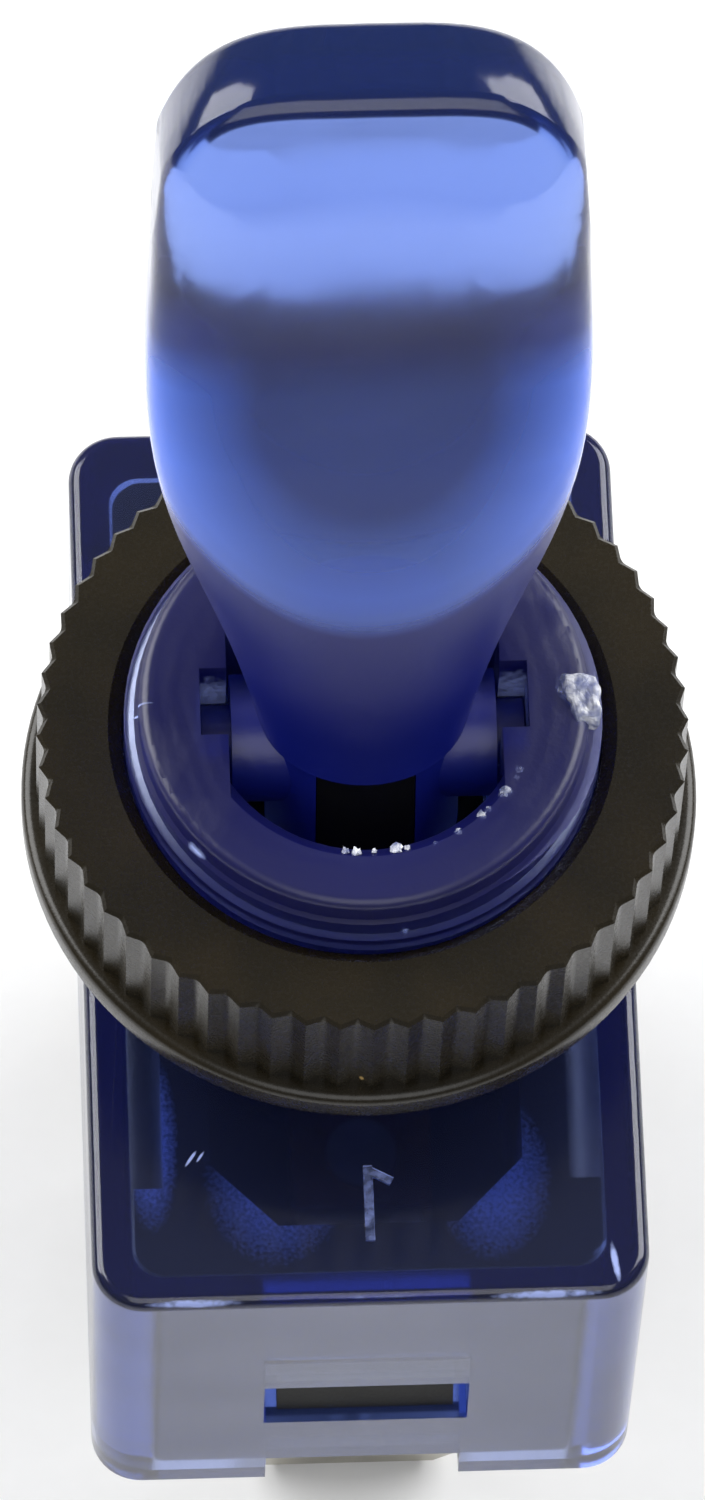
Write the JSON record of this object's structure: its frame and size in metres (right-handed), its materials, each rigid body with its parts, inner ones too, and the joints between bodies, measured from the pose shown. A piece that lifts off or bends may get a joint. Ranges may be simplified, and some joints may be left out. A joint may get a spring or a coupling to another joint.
{
  "type": "toggle switch",
  "caption": "Panel toggle switch: clear blue housing and threaded bushing, black knurled face nut, lighted duckbill lever over a sprung rocker mechanism with blade terminals.",
  "frame": {"origin": "on the bushing's axis, at the housing's face that seats against the back of the panel", "axes": "+Z out of the panel towards the lever, X along the lever's pivot, Y along the swing; at rest the lever leans towards +Y"},
  "size_m": [0.0172, 0.0244, 0.0552],
  "materials": {
    "clear_blue": "polished clear blue polycarbonate",
    "black_nylon": "matt black nylon",
    "black_base": "matt black moulding",
    "black_acetal": "smooth black acetal",
    "natural_nylon": "off-white nylon",
    "spring_steel": "bright spring wire",
    "lens_epoxy": "clear epoxy",
    "tinned_lead": "tinned wire",
    "resistor_body": "painted resistor body",
    "copper_strip": "bright copper strip",
    "contact_silver": "silver contact rivet",
    "tinned_blade": "tinned copper blade",
    "brass_blade": "bare brass blade"
  },
  "bodies": {
    "switch_body": {"housing": "clear_blue", "base": "black_base", "terminal_power": "tinned_blade", "terminal_load": "tinned_blade", "terminal_ground": "brass_blade", "fixed_contact": "contact_silver", "ground_spring": "spring_steel", "resistor": "resistor_body", "resistor_leads": "tinned_lead"},
    "lever_arm": {"lever": "clear_blue", "led": "lens_epoxy", "led_leads": "tinned_lead", "actuator": "black_acetal", "plunger_spring": "spring_steel"},
    "plunger_pin": {"plunger": "natural_nylon"},
    "rocker": {"rocker_contact": "copper_strip", "moving_contact": "contact_silver"},
    "nut": {"face_nut": "black_nylon"}
  },
  "joints": [
    {"name": "lever_swing", "type": "hinge", "parent": "switch_body", "child": "lever_arm", "pos_m": [0, 0, 0.008], "axis": [1, 0, 0], "range_deg": [0, 34], "deforming": ["ground_spring"]},
    {"name": "plunger_slide", "type": "slide", "parent": "lever_arm", "child": "plunger_pin", "axis": [0, 0.2924, 0.9563], "range_m": [0, 0.0008], "stiffness_N_per_m": 500, "springref_m": -0.002, "deforming": ["plunger_spring"]},
    {"name": "rocker_tilt", "type": "hinge", "parent": "switch_body", "child": "rocker", "pos_m": [0, 0, -0.00445], "axis": [1, 0, 0], "range_deg": [-12, 0]},
    {"name": "nut_travel", "type": "slide", "parent": "switch_body", "child": "nut", "axis": [0, 0, 1], "range_m": [-0.00345, 0.0055]}
  ],
  "couplings": [
    {"joint": "rocker_tilt", "follows": "lever_swing", "ratio": -0.35294}
  ]
}
